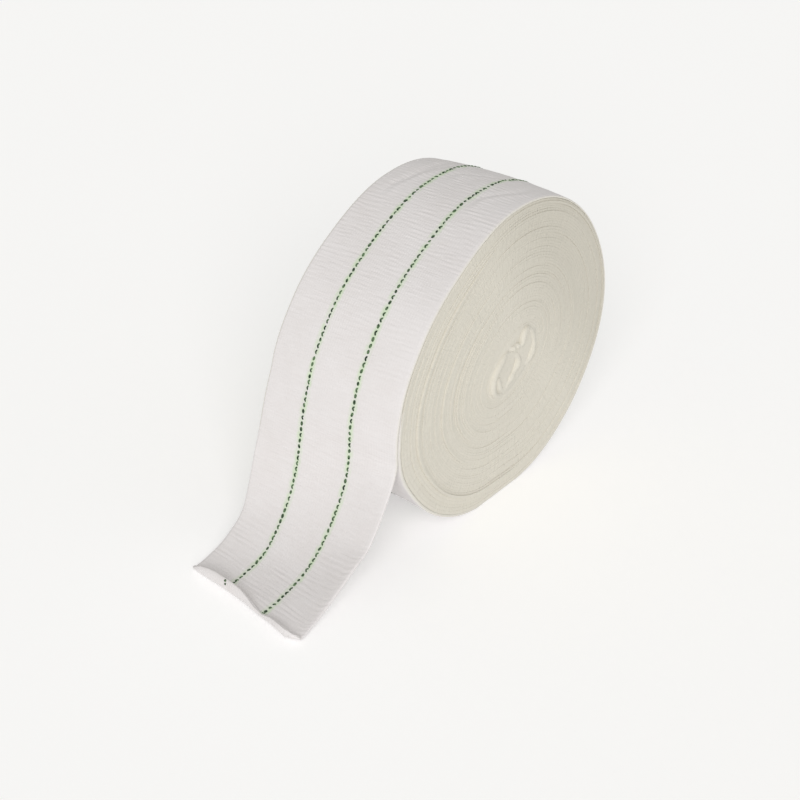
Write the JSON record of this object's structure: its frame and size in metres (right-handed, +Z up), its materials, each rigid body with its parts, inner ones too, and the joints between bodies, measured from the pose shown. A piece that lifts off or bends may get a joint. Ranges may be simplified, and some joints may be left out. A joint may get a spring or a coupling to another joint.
{
  "type": "tubular bandage roll",
  "caption": "Roll of flattened tubular knit bandage with green thread lines, its loose end unrolled onto the surface.",
  "frame": {"origin": "on the resting surface, under the roll's axis and midway across the cloth", "axes": "+Z up, X along the roll's axis, the loose end runs out towards -Y"},
  "size_m": [0.0532, 0.1652, 0.1011],
  "materials": {
    "wound_knit": "matte knitted cotton, edges of the turns",
    "loose_knit": "matte ribbed knitted cotton",
    "green_yarn": "matte dyed yarn"
  },
  "bodies": {
    "root": {"wound_roll": "wound_knit", "loose_end": "loose_knit"}
  },
  "joints": []
}
